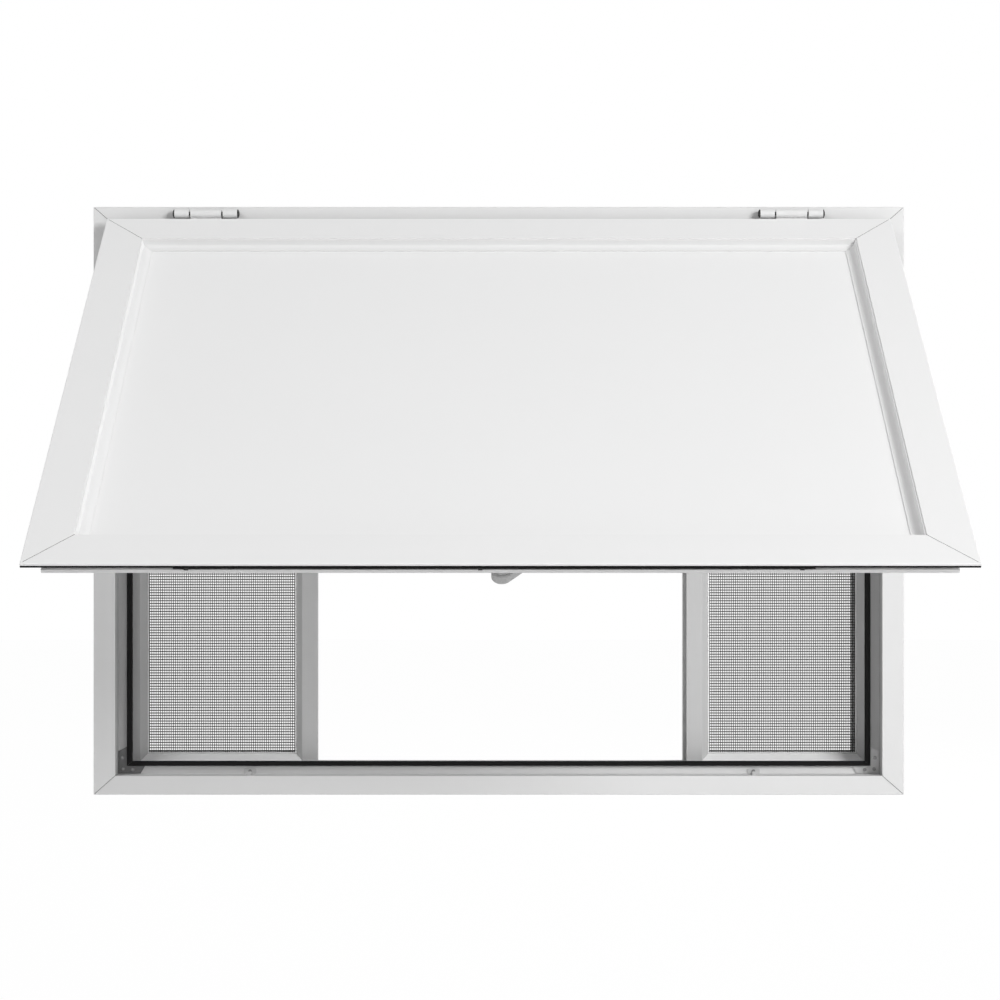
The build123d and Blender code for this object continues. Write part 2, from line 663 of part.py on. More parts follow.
for frame_side, frame_name in (
    ("top", "frame_head"),
    ("bottom", "frame_sill"),
    ("left", "frame_jamb_left"),
    ("right", "frame_jamb_right"),
):
    make_frame_member(frame_side, frame_name)
make_gasket(("left", "right"), "ledge_gasket_upright")
make_gasket(("bottom", "top"), "ledge_gasket_level")
make_bracket(True, False, "corner_bracket_bottom_left")
make_bracket(False, False, "corner_bracket_bottom_right")
make_bracket(True, True, "corner_bracket_top_left")
make_bracket(False, True, "corner_bracket_top_right")
make_keeper(KEEPER_LEFT_X, "lock_keeper_left")
make_keeper(KEEPER_RIGHT_X, "lock_keeper_right")
make_screen(LEFT_FRONT_GAP - TRACKS_END, FRONT_TRACK, "screen_left_front")
make_screen(LEFT_REAR_GAP - TRACKS_END, REAR_TRACK, "screen_left_rear")
make_screen(TRACKS_END - RIGHT_FRONT_GAP - SCREEN_WIDTH, FRONT_TRACK, "screen_right_front")
make_screen(TRACKS_END - RIGHT_REAR_GAP - SCREEN_WIDTH, REAR_TRACK, "screen_right_rear")
for hatch_edge, hatch_name in (
    ("top", "hatch_rail_top"),
    ("bottom", "hatch_rail_bottom"),
    ("left", "hatch_stile_left"),
    ("right", "hatch_stile_right"),
):
    make_hatch_member(hatch_edge, hatch_name)
make_beads(("left", "right"), "hatch_bead_upright")
make_beads(("bottom", "top"), "hatch_bead_level")
make_panel()
for seal_side in ("top", "bottom", "left", "right"):
    make_seal(seal_side, f"hatch_seal_{seal_side}")
for hinge_x, hinge_name in zip(hinge_centres(), ("hinge_left", "hinge_right")):
    make_frame_leaf(hinge_x, f"{hinge_name}_frame_leaf")
    make_hatch_leaf(hinge_x, f"{hinge_name}_hatch_leaf")
    make_pin(hinge_x, f"{hinge_name}_pin")
make_lock_bar()
make_handle()
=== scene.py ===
"""Concession window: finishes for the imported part, its woven insect mesh, its screws and a studio."""

import math

import bmesh
import bpy
from mathutils import Matrix, Vector


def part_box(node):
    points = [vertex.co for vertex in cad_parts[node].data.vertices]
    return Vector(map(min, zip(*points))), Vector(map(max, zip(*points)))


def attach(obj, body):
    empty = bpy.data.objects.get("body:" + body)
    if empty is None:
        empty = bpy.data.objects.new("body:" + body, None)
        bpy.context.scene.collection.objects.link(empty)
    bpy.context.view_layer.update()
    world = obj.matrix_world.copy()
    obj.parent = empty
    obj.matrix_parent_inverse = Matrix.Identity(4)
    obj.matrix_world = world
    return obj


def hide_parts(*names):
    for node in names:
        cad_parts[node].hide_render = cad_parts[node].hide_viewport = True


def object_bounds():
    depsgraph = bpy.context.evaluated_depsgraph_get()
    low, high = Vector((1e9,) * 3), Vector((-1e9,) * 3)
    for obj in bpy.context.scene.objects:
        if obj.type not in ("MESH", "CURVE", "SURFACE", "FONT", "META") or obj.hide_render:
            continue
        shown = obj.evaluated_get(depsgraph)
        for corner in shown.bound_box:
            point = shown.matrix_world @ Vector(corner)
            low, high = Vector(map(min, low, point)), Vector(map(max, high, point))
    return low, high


bl_info = {
    "name": "Concession Window",
    "version": (1, 0, 0),
    "blender": (4, 5, 0),
    "location": "View3D > Sidebar > Window",
    "description": "Dresses the packed concession window and sets it in a studio",
    "category": "Object",
}

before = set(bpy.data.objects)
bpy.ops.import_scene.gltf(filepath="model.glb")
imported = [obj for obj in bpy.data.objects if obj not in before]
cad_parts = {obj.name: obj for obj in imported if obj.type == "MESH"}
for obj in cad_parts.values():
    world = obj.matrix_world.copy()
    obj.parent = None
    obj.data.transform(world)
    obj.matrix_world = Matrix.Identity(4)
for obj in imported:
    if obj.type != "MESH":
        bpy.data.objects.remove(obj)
cad_low, cad_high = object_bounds()

# Lengths are in metres and angles in degrees

CLOSE = 1e-6
OUT_OF_WALL = Vector((0, -1, 0))

# Fixed frame: half the flange's width, its front face, and its widths on the jambs and on the levels
FLANGE_HALF = 0.648
FLANGE_FRONT = -0.002
JAMB_FLANGE = 0.0345
LEVEL_FLANGE = 0.0302
# Depths between which the jambs' coat is painted darker, as painted shade deep in the wall, and the
# share of its colour left at the deepest
PAINTED_SHADE_DEPTHS = (0.004, 0.024)
JAMB_PAINTED_SHADE = 0.7

# Hatch: its hinge axis and opening, and its outline on the closed hatch, measured from that axis
HINGE_AXIS = (0, -0.0102, 0.914)
HATCH_OPEN = 53.8
HATCH_HALF = 0.6237
HATCH_FRONT = 0.0011
HATCH_EDGES = {"bottom": -0.9114, "top": -0.0132}
HATCH_BORDER = 0.063

# Rounds on coated and drawn profiles
SOFTENED = ("frame_", "hatch_rail", "hatch_stile", "screen_left", "screen_right")
EDGE_ROUND = 0.0005
EDGE_ROUND_SEGMENTS = 2
SHARP_ANGLE = 35
LARGE_FACES_LEAD = 100
WELD_REACH = 5e-6
REPEAT_REACH = 1e-5

# Insect screens: how far the mesh reaches into its groove, and the make of wire and cord
SCREENS = ("screen_left_front", "screen_left_rear", "screen_right_front", "screen_right_rear")
MESH_GRIP = 0.0045
WIRE_SIDES = 3
CORD_ROUND = 0.45
CORD_SEGMENTS = 3

# Screws: the make of a head, and their places from a bracket's corner and a keeper's foot
SCREW_SIDES = 20
SCREW_ROUND = 0.75
SCREW_SEGMENTS = 3
SCREW_SLOT_DEPTH = 0.6
BRACKET_SCREWS = ((0.0066, 0.0254), (0.0080, 0.0072), (0.0232, 0.0060))
KEEPER_PLATE = 0.0016
KEEPER_SCREW_HEIGHT = 0.0040

# Mitres: where the sealant starts, as a share of the mitre's length
SEAM_START = 0.06
SEALANT_SIDES = 8

# Grain of the finishes, in repeats a metre, and how much rougher its dullest patches are
COAT_PATCHES = 3.0
COAT_GRAIN = 900.0
COAT_DULLING = 0.12
METAL_PATCHES = 6.0
METAL_LINES = 700.0
METAL_DULLING = 0.15

# Studio
FLOOR_SHADE = 0.9
FLOOR_GLOW = 0.985
FLOOR_BELOW = 0.55
FLOOR_HALF = 14.0
LAMP_SIZE = 2.4
LAMP_DISTANCE = 6.5
KEY_ANGLES = (45, 19)
FILL_ANGLES = (-50, 40)
ROOM_ANGLES = (160, 24)
SENSOR_WIDTH = 36.0
IMAGE_CENTRE_SHIFT = 0.00865
FARTHEST_SEEN = 100.0


# Settings


class FinishSettings(bpy.types.PropertyGroup):
    """Colours of the window's finishes."""

    frame_coat: bpy.props.FloatVectorProperty(
        name="Frame coat",
        description="Powder coat on the fixed frame",
        subtype="COLOR",
        size=3,
        default=(0.75, 0.75, 0.75),
    )
    # Painted light: the hatch wears the frame's white powder coat, its copy painted lighter to stand in
    # for light on the tilted hatch
    hatch_coat_painted_light: bpy.props.FloatVectorProperty(
        name="Hatch coat",
        description="Powder coat on the hatch rails and stiles",
        subtype="COLOR",
        size=3,
        default=(0.865, 0.865, 0.865),
    )
    # Painted shade: the level beads wear the upright beads' coat, painted darker to stand in for the
    # shade on them
    level_bead_painted_shade: bpy.props.FloatVectorProperty(
        name="Level bead",
        description="Coat on the level glazing beads, a shade duller than the upright ones",
        subtype="COLOR",
        size=3,
        default=(0.76, 0.76, 0.76),
    )
    panel_skin: bpy.props.FloatVectorProperty(
        name="Panel skin",
        description="Smooth outer skin of the hatch panel",
        subtype="COLOR",
        size=3,
        default=(0.88, 0.88, 0.88),
    )
    # Stiles and rails are one satin aluminium; the rails' copy is painted lighter, as painted light on
    # their upward bevels
    screen_stile: bpy.props.FloatVectorProperty(
        name="Screen stile",
        description="Satin aluminium of the insect screens' upright sides",
        subtype="COLOR",
        size=3,
        default=(0.55, 0.55, 0.55),
    )
    screen_rail: bpy.props.FloatVectorProperty(
        name="Screen rail",
        description="Satin aluminium of the insect screens' level sides",
        subtype="COLOR",
        size=3,
        default=(0.90, 0.90, 0.90),
    )
    # Painted reflection: the lower left bracket is the same zinc as the others, painted dark to stand
    # in for the dark things it reflects
    left_bracket_painted_dark_reflection: bpy.props.FloatVectorProperty(
        name="Dark plate",
        description="Dull zinc of the left lower corner bracket",
        subtype="COLOR",
        size=3,
        default=(0.17, 0.17, 0.17),
    )
    pale_plate: bpy.props.FloatVectorProperty(
        name="Pale plate",
        description="Bright zinc of the other brackets and the keepers",
        subtype="COLOR",
        size=3,
        default=(0.62, 0.62, 0.62),
    )
    # Near-black steel, so the gaps between the hinge knuckles and the groove under the hatch show dark
    dark_steel: bpy.props.FloatVectorProperty(
        name="Dark steel",
        description="Blackened steel of the hinge pins and the lock bar",
        subtype="COLOR",
        size=3,
        default=(0.03, 0.03, 0.03),
    )
    screw_metal: bpy.props.FloatVectorProperty(
        name="Screw metal",
        description="Steel of the screws",
        subtype="COLOR",
        size=3,
        default=(0.30, 0.30, 0.30),
    )
    sealant: bpy.props.FloatVectorProperty(
        name="Sealant",
        description="Grey sealant in the mitred corners",
        subtype="COLOR",
        size=3,
        default=(0.10, 0.10, 0.10),
    )
    rubber: bpy.props.FloatVectorProperty(
        name="Rubber",
        description="Black of the hatch seal",
        subtype="COLOR",
        size=3,
        default=(0.004, 0.004, 0.004),
    )
    gasket: bpy.props.FloatVectorProperty(
        name="Gasket",
        description="Weathered black of the ledge gasket",
        subtype="COLOR",
        size=3,
        default=(0.012, 0.012, 0.012),
    )
    mesh_wire: bpy.props.FloatVectorProperty(
        name="Mesh wire",
        description="Coated wire of the insect mesh",
        subtype="COLOR",
        size=3,
        default=(0.075, 0.075, 0.075),
    )
    handle: bpy.props.FloatVectorProperty(
        name="Handle",
        description="Grey coat of the handle",
        subtype="COLOR",
        size=3,
        default=(0.50, 0.50, 0.50),
    )


class MeshSettings(bpy.types.PropertyGroup):
    """Sizes of the woven insect mesh."""

    upright_pitch: bpy.props.FloatProperty(
        name="Upright pitch",
        description="Distance between upright wires",
        subtype="DISTANCE",
        default=0.00353,
    )
    level_pitch: bpy.props.FloatProperty(
        name="Level pitch",
        description="Distance between level wires",
        subtype="DISTANCE",
        default=0.00436,
    )
    upright_width: bpy.props.FloatProperty(
        name="Upright wire",
        description="Width of an upright wire",
        subtype="DISTANCE",
        default=0.0011,
    )
    level_width: bpy.props.FloatProperty(
        name="Level wire",
        description="Width of a level wire",
        subtype="DISTANCE",
        default=0.0019,
    )
    flatness: bpy.props.FloatProperty(
        name="Flatness",
        description="Depth of a pressed wire for its width",
        subtype="FACTOR",
        default=0.35,
    )
    wave: bpy.props.FloatProperty(
        name="Wave",
        description="How far a wire bends to pass another",
        subtype="DISTANCE",
        default=0.0002,
    )
    cord_width: bpy.props.FloatProperty(
        name="Cord width",
        description="Width of the cord that holds the mesh in its groove",
        subtype="DISTANCE",
        default=0.0024,
    )


class SealantSettings(bpy.types.PropertyGroup):
    """Size of the sealant in the mitred corners."""

    radius: bpy.props.FloatProperty(
        name="Line radius",
        description="Radius of the line of sealant in a mitred corner",
        subtype="DISTANCE",
        default=0.0003,
    )


class ScrewSettings(bpy.types.PropertyGroup):
    """Sizes of the cross head screws."""

    radius: bpy.props.FloatProperty(
        name="Head radius",
        description="Radius of a pan head",
        subtype="DISTANCE",
        default=0.0029,
    )
    height: bpy.props.FloatProperty(
        name="Head height",
        description="How far a pan head stands up",
        subtype="DISTANCE",
        default=0.0014,
    )
    slot_width: bpy.props.FloatProperty(
        name="Slot width",
        description="Width of each slot of the cross",
        subtype="DISTANCE",
        default=0.0008,
    )
    slot_length: bpy.props.FloatProperty(
        name="Slot length",
        description="Length of each slot of the cross",
        subtype="DISTANCE",
        default=0.0032,
    )


class StudioSettings(bpy.types.PropertyGroup):
    """Camera and light."""

    camera_place: bpy.props.FloatVectorProperty(
        name="Camera place",
        description="Where the camera stands",
        subtype="TRANSLATION",
        size=3,
        default=(-0.0118, -3.922, 0.4573),
    )
    camera_lens: bpy.props.FloatProperty(
        name="Lens",
        description="Focal length on a 36 mm sensor",
        default=88.24,
    )
    key_power: bpy.props.FloatProperty(
        name="Key power",
        description="Power of the soft lamp on the right",
        subtype="POWER",
        default=318.0,
    )
    fill_power: bpy.props.FloatProperty(
        name="Fill power",
        description="Power of the soft lamp on the left",
        subtype="POWER",
        default=125.0,
    )
    room_power: bpy.props.FloatProperty(
        name="Room power",
        description="Power of the soft lamp behind the window, which lights its inner side",
        subtype="POWER",
        default=220.0,
    )
    sky: bpy.props.FloatProperty(
        name="Sky",
        description="Strength of the even light from all sides",
        default=0.15,
    )


SETTINGS = {
    "window_finish": FinishSettings,
    "window_mesh": MeshSettings,
    "window_sealant": SealantSettings,
    "window_screws": ScrewSettings,
    "window_studio": StudioSettings,
}


# Node groups


def group_sockets(group, inputs, outputs):
    """The group's input and output nodes, after its named sockets are made."""
    for name, kind, default in inputs:
        socket = group.interface.new_socket(name=name, in_out="INPUT", socket_type=kind)
        socket.default_value = default
    for name, kind in outputs:
        group.interface.new_socket(name=name, in_out="OUTPUT", socket_type=kind)
    return group.nodes.new("NodeGroupInput"), group.nodes.new("NodeGroupOutput")


def noise(nodes, links, vector, scale, detail):
    """Soft noise from 0 to 1 over a vector."""
    node = nodes.new("ShaderNodeTexNoise")
    node.inputs["Scale"].default_value = scale
    node.inputs["Detail"].default_value = detail
    links.new(vector, node.inputs["Vector"])
    return node.outputs["Fac"]


def span(nodes, links, value, low, high):
    """Value from 0..1 spread to low..high, either as numbers or as sockets."""
    node = nodes.new("ShaderNodeMapRange")
    links.new(value, node.inputs["Value"])
    for key, end in (("To Min", low), ("To Max", high)):
        if isinstance(end, bpy.types.NodeSocket):
            links.new(end, node.inputs[key])
        else:
            node.inputs[key].default_value = end
    return node.outputs["Result"]


def shaded(nodes, links, colour, share):
    """Colour times share."""
    node = nodes.new("ShaderNodeVectorMath")
    node.operation = "SCALE"
    links.new(colour, node.inputs[0])
    links.new(share, node.inputs["Scale"])
    return node.outputs["Vector"]


def less_than_one(nodes, links, amount):
    """One less an amount."""
    node = nodes.new("ShaderNodeMath")
    node.operation = "SUBTRACT"
    node.inputs[0].default_value = 1.0
    links.new(amount, node.inputs[1])
    return node.outputs[0]


def dulled(nodes, links, gloss, dulling, patches):
    """Roughness that goes from the gloss to a duller one over the patches."""
    node = nodes.new("ShaderNodeMath")
    node.operation = "ADD"
    node.inputs[1].default_value = dulling
    links.new(gloss, node.inputs[0])
    return span(nodes, links, patches, gloss, node.outputs[0])


def coat_grain_group():
    """Powder coat: soft patches, a fine grain's height, and painted shade that darkens it where it lies
    deep in the wall.
    """
    group = bpy.data.node_groups.new("coat_grain", "ShaderNodeTree")
    nodes, links = group.nodes, group.links
    given, made = group_sockets(
        group,
        [
            ("Color", "NodeSocketColor", (0.8, 0.8, 0.8, 1)),
            ("Patchiness", "NodeSocketFloat", 0.03),
            ("Gloss", "NodeSocketFloat", 0.35),
            ("Painted Recess Shade", "NodeSocketFloat", 1.0),
        ],
        [
            ("Color", "NodeSocketColor"),
            ("Roughness", "NodeSocketFloat"),
            ("Height", "NodeSocketFloat"),
        ],
    )
    place = nodes.new("ShaderNodeTexCoord").outputs["Object"]
    parts = nodes.new("ShaderNodeSeparateXYZ")
    links.new(place, parts.inputs[0])
    # Painted shade: the colour darkens with depth into the wall, standing in for shade
    painted_shade = nodes.new("ShaderNodeMapRange")
    links.new(parts.outputs["Y"], painted_shade.inputs["Value"])
    painted_shade.inputs["From Min"].default_value, painted_shade.inputs["From Max"].default_value = PAINTED_SHADE_DEPTHS
    painted_shade.inputs["To Min"].default_value = 1.0
    links.new(given.outputs["Painted Recess Shade"], painted_shade.inputs["To Max"])
    patches = noise(nodes, links, place, COAT_PATCHES, 4.0)
    grain = noise(nodes, links, place, COAT_GRAIN, 2.0)
    darkest = less_than_one(nodes, links, given.outputs["Patchiness"])
    patchy = shaded(nodes, links, given.outputs["Color"], span(nodes, links, patches, darkest, 1.0))
    links.new(shaded(nodes, links, patchy, painted_shade.outputs["Result"]), made.inputs["Color"])
    roughness = dulled(nodes, links, given.outputs["Gloss"], COAT_DULLING, patches)
    links.new(roughness, made.inputs["Roughness"])
    links.new(grain, made.inputs["Height"])
    return group


def drawn_metal_group():
    """Satin metal: long fine lines along one axis, set by how much each axis is stretched."""
    group = bpy.data.node_groups.new("drawn_metal", "ShaderNodeTree")
    nodes, links = group.nodes, group.links
    given, made = group_sockets(
        group,
        [
            ("Color", "NodeSocketColor", (0.6, 0.6, 0.6, 1)),
            ("Stretch", "NodeSocketVector", (1, 1, 1)),
            ("Line Depth", "NodeSocketFloat", 0.08),
            ("Gloss", "NodeSocketFloat", 0.3),
        ],
        [
            ("Color", "NodeSocketColor"),
            ("Roughness", "NodeSocketFloat"),
            ("Height", "NodeSocketFloat"),
        ],
    )
    place = nodes.new("ShaderNodeTexCoord").outputs["Object"]
    stretched = nodes.new("ShaderNodeVectorMath")
    stretched.operation = "MULTIPLY"
    links.new(place, stretched.inputs[0])
    links.new(given.outputs["Stretch"], stretched.inputs[1])
    lines = noise(nodes, links, stretched.outputs["Vector"], METAL_LINES, 3.0)
    patches = noise(nodes, links, place, METAL_PATCHES, 3.0)
    darkest = less_than_one(nodes, links, given.outputs["Line Depth"])
    lined = shaded(nodes, links, given.outputs["Color"], span(nodes, links, lines, darkest, 1.0))
    links.new(lined, made.inputs["Color"])
    roughness = dulled(nodes, links, given.outputs["Gloss"], METAL_DULLING, patches)
    links.new(roughness, made.inputs["Roughness"])
    links.new(lines, made.inputs["Height"])
    return group


# Materials


def grouped_material(name, group, values, metallic, bump_strength, bump_distance):
    """A Principled material whose colour, roughness and bump come from one node group."""
    material = bpy.data.materials.new(name)
    material.use_nodes = True
    nodes, links = material.node_tree.nodes, material.node_tree.links
    surface = nodes["Principled BSDF"]
    surface.inputs["Metallic"].default_value = metallic
    pattern = nodes.new("ShaderNodeGroup")
    pattern.node_tree = group
    for key, value in values.items():
        pattern.inputs[key].default_value = value
    bump = nodes.new("ShaderNodeBump")
    bump.inputs["Strength"].default_value = bump_strength
    bump.inputs["Distance"].default_value = bump_distance
    links.new(pattern.outputs["Color"], surface.inputs["Base Color"])
    links.new(pattern.outputs["Roughness"], surface.inputs["Roughness"])
    links.new(pattern.outputs["Height"], bump.inputs["Height"])
    links.new(bump.outputs["Normal"], surface.inputs["Normal"])
    return material


def opaque(colour):
    """A colour with full alpha."""
    return (colour[0], colour[1], colour[2], 1.0)


def make_materials(finish):
    """Every finish of the window, by name."""
    coat = coat_grain_group()
    metal = drawn_metal_group()

    def coated(name, colour, gloss, patchiness=0.03, bump=0.06, shine=0.5, painted_shade=1.0):
        values = {
            "Color": opaque(colour),
            "Gloss": gloss,
            "Patchiness": patchiness,
            "Painted Recess Shade": painted_shade,
        }
        made = grouped_material(name, coat, values, 0.0, bump, bump_distance=0.0002)
        made.node_tree.nodes["Principled BSDF"].inputs["Specular IOR Level"].default_value = shine
        return made

    def drawn(name, colour, gloss, stretch, metallic, depth=0.08):
        values = {"Color": opaque(colour), "Gloss": gloss, "Stretch": stretch, "Line Depth": depth}
        return grouped_material(name, metal, values, metallic, bump_strength=0.08, bump_distance=0.0001)

    def rubbery(name, colour, shine):
        return coated(name, colour, 0.6, patchiness=0.3, bump=0.3, shine=shine)

    along_x, along_z, plain = (0.02, 1, 1), (1, 1, 0.02), (1, 1, 1)
    return {
        "frame_coat": coated("frame_coat", finish.frame_coat, 0.34),
        # The jambs' coat carries painted shade, darker the deeper it lies in the wall
        "jamb_coat_painted_shade": coated("jamb_coat_painted_shade", finish.frame_coat, 0.34, painted_shade=JAMB_PAINTED_SHADE),
        # The hatch's copy of the frame's coat is painted lighter, as painted light
        "hatch_coat_painted_light": coated("hatch_coat_painted_light", finish.hatch_coat_painted_light, 0.34),
        # The level beads' coat is painted darker, as painted shade
        "level_bead_painted_shade": coated("level_bead_painted_shade", finish.level_bead_painted_shade, 0.34),
        "panel_skin": coated("panel_skin", finish.panel_skin, 0.28, patchiness=0.02, bump=0.02),
        "hinge_coat": coated("hinge_coat", finish.frame_coat, 0.36),
        "handle_coat": coated("handle_coat", finish.handle, 0.4),
        "sealant": coated("sealant", finish.sealant, 0.5, patchiness=0.2, bump=0.1, shine=0.1),
        "rubber": rubbery("rubber", finish.rubber, 0.08),
        "gasket": rubbery("gasket", finish.gasket, 0.12),
        "mesh_wire": coated("mesh_wire", finish.mesh_wire, 0.6, patchiness=0.25, bump=0.1, shine=0.2),
        "screen_stile": drawn("screen_stile", finish.screen_stile, 0.34, along_z, 0.1, depth=0.05),
        # The rails' aluminium is painted lighter, as painted light
        "screen_rail": drawn("screen_rail", finish.screen_rail, 0.34, along_x, 0.1, depth=0.05),
        # The lower left bracket's zinc is painted dark, as a painted reflection
        "left_bracket_painted_dark_reflection": drawn("left_bracket_painted_dark_reflection", finish.left_bracket_painted_dark_reflection, 0.4, plain, 0.2),
        "pale_plate": drawn("pale_plate", finish.pale_plate, 0.4, plain, 0.2),
        "screw_steel": drawn("screw_steel", finish.screw_metal, 0.3, plain, 0.6),
        "lock_steel": drawn("lock_steel", finish.dark_steel, 0.4, along_x, 0.4, depth=0.2),
        "pin_steel": drawn("pin_steel", finish.dark_steel, 0.5, along_x, 0.3, depth=0.2),
    }


NODE_FINISH = (
    ("frame_jamb", "jamb_coat_painted_shade"),
    ("frame_", "frame_coat"),
    ("ledge_gasket", "gasket"),
    ("corner_bracket_bottom_left", "left_bracket_painted_dark_reflection"),
    ("corner_bracket", "pale_plate"),
    ("lock_keeper", "pale_plate"),
    ("lock_bar", "lock_steel"),
    ("hatch_panel", "panel_skin"),
    ("hatch_bead_level", "level_bead_painted_shade"),
    ("hatch_seal", "rubber"),
    ("hatch_", "hatch_coat_painted_light"),
    ("handle_", "handle_coat"),
)


SCREEN_FINISH = {"stiles": "screen_stile", "rails": "screen_rail", "mesh": "mesh_wire"}


def finish_of(node):
    """Name of the finish that a CAD node wears."""
    if node.startswith("screen_"):
        return SCREEN_FINISH[node.split("_")[-1]]
    if node.startswith("hinge_"):
        return "pin_steel" if node.endswith("pin") else "hinge_coat"
    return next(finish for start, finish in NODE_FINISH if node.startswith(start))


# Shapes


def finished(name, bm, body, material):
    """The bmesh as an object in place, riding on a body and taking its finish from a slot."""
    mesh = bpy.data.meshes.new(name)
    bm.to_mesh(mesh)
    bm.free()
    mesh.materials.append(material)
    obj = bpy.data.objects.new(name, mesh)
    bpy.context.scene.collection.objects.link(obj)
    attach(obj, body)
    return obj


def verts_of(result):
    """The vertices that an extrusion made."""
    return [item for item in result["geom"] if isinstance(item, bmesh.types.BMVert)]


def screw_template(sizes):
    """Mesh of one pan head screw, its foot at the origin and its cross recess facing +Z."""
    bm = bmesh.new()
    bmesh.ops.create_circle(bm, cap_ends=True, segments=SCREW_SIDES, radius=sizes.radius)
    raised = bmesh.ops.extrude_face_region(bm, geom=bm.faces[:], use_keep_orig=True)
    bmesh.ops.translate(bm, verts=verts_of(raised), vec=(0, 0, sizes.height))
    bmesh.ops.recalc_face_normals(bm, faces=bm.faces[:])
    rim = [e for e in bm.edges if all(v.co.z > sizes.height - CLOSE for v in e.verts)]
    bmesh.ops.bevel(
        bm,
        geom=rim,
        offset=sizes.height * SCREW_ROUND,
        offset_type="OFFSET",
        segments=SCREW_SEGMENTS,
        profile=0.5,
        affect="EDGES",
        material=-1,
    )
    half_width, half_length = sizes.slot_width / 2, sizes.slot_length / 2
    for axis in (Vector((1, 0, 0)), Vector((0, 1, 0))):
        for offset in (-half_length, -half_width, half_width, half_length):
            bmesh.ops.bisect_plane(
                bm,
                geom=bm.verts[:] + bm.edges[:] + bm.faces[:],
                plane_co=axis * offset,
                plane_no=axis,
            )
    cross = []
    for face in bm.faces:
        centre = face.calc_center_median()
        across, along = sorted((abs(centre.x), abs(centre.y)))
        if centre.z > sizes.height - CLOSE and across < half_width and along < half_length:
            cross.append(face)
    sunk = bmesh.ops.extrude_face_region(bm, geom=cross)
    bmesh.ops.translate(bm, verts=verts_of(sunk), vec=(0, 0, -sizes.height * SCREW_SLOT_DEPTH))
    mesh = bpy.data.meshes.new("screw_template")
    bm.to_mesh(mesh)
    bm.free()
    return mesh


def screw_row(template, places, facing):
    """A bmesh with one screw at each place, its head facing the given way."""
    bm = bmesh.new()
    turn = facing.to_track_quat("Z", "Y").to_matrix().to_4x4()
    for place in places:
        bm.from_mesh(template)
        new = bm.verts[-len(template.vertices) :]
        bmesh.ops.transform(bm, matrix=Matrix.Translation(place) @ turn, verts=new)
    return bm


def wire(bm, start, steps, width, flatness):
    """A three sided, pressed wire from start through steps, each a move to the next bend."""
    along = Vector(steps[0]).to_track_quat("Z", "Y").to_matrix().to_4x4()
    ring = bmesh.ops.create_circle(
        bm,
        cap_ends=False,
        segments=WIRE_SIDES,
        radius=width / 2 / math.sin(math.pi / WIRE_SIDES),
        matrix=Matrix.Translation(start) @ Matrix.Diagonal((1, flatness, 1, 1)) @ along,
    )
    end = list({e for v in ring["verts"] for e in v.link_edges})
    for step in steps:
        grown = bmesh.ops.extrude_edge_only(bm, edges=end)
        bmesh.ops.translate(bm, verts=verts_of(grown), vec=step)
        end = [item for item in grown["geom"] if isinstance(item, bmesh.types.BMEdge)]


def weave_tile(sizes, corner, stretch):
    """Two upright and two level wires of plain weave, which repeat every two pitches."""
    bm = bmesh.new()
    across, up, wave = sizes.upright_pitch * stretch, sizes.level_pitch * stretch, sizes.wave
    for column in (0, 1):
        for row in (0, 1):
            front = wave if (column + row) % 2 else -wave
            crossing = corner + Vector(((column + 0.5) * across, 0, (row + 0.5) * up))
            if row == 0:
                steps = ((0, -2 * front, up), (0, 2 * front, up))
                wire(bm, crossing + Vector((0, front, 0)), steps, sizes.upright_width, sizes.flatness)
            if column == 0:
                steps = ((across, 2 * front, 0), (across, -2 * front, 0))
                wire(bm, crossing - Vector((0, front, 0)), steps, sizes.level_width, sizes.flatness)
    bmesh.ops.recalc_face_normals(bm, faces=bm.faces[:])
    return bm


def weave_start(node, across, up):
    """Lower left corner and counts of the tiles that fill a mesh node, centred on it."""
    low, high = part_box(node)
    columns = int((high.x - low.x) / across)
    rows = int((high.z - low.z) / up)
    return (low + high) / 2 - Vector((columns * across, 0, rows * up)) / 2, columns, rows


def retaining_cord(low, high, front, width):
    """Half round cord, mitred round the four sides of a mesh opening, standing forward of a plane."""
    bm = bmesh.new()
    bmesh.ops.create_grid(bm, x_segments=1, y_segments=1, size=0.5)
    size = high - low
    place = Matrix.Translation(((low.x + high.x) / 2, front, (low.z + high.z) / 2))
    upright = Matrix.Rotation(math.radians(90), 4, "X") @ Matrix.Diagonal((size.x, size.z, 1, 1))
    bmesh.ops.transform(bm, matrix=place @ upright, verts=bm.verts[:])
    inset = bmesh.ops.inset_region(
        bm,
        faces=bm.faces[:],
        use_boundary=True,
        use_even_offset=True,
        thickness=width,
    )
    inner = [f for f in bm.faces if f not in inset["faces"]]
    bmesh.ops.delete(bm, geom=inner, context="FACES")
    raised = bmesh.ops.extrude_face_region(bm, geom=bm.faces[:], use_keep_orig=True)
    tops = verts_of(raised)
    bmesh.ops.translate(bm, verts=tops, vec=(0, -width / 2, 0))
    bmesh.ops.recalc_face_normals(bm, faces=bm.faces[:])
    tops = set(tops)
    rims = [
        e
        for e in bm.edges
        if tops.issuperset(e.verts) and any(not tops.issuperset(f.verts) for f in e.link_faces)
    ]
    bmesh.ops.bevel(
        bm,
        geom=rims,
        offset=width * CORD_ROUND,
        offset_type="OFFSET",
        segments=CORD_SEGMENTS,
        profile=0.5,
        affect="EDGES",
        material=-1,
    )
    return bm


def sealant_rod(start, end, radius):
    """Thin rod of sealant from start to end."""
    bm = bmesh.new()
    along = end - start
    place = Matrix.Translation((start + end) / 2) @ along.to_track_quat("Z", "Y").to_matrix().to_4x4()
    bmesh.ops.create_cone(
        bm,
        cap_ends=True,
        segments=SEALANT_SIDES,
        radius1=radius,
        radius2=radius,
        depth=along.length,
        matrix=place,
    )
    return bm


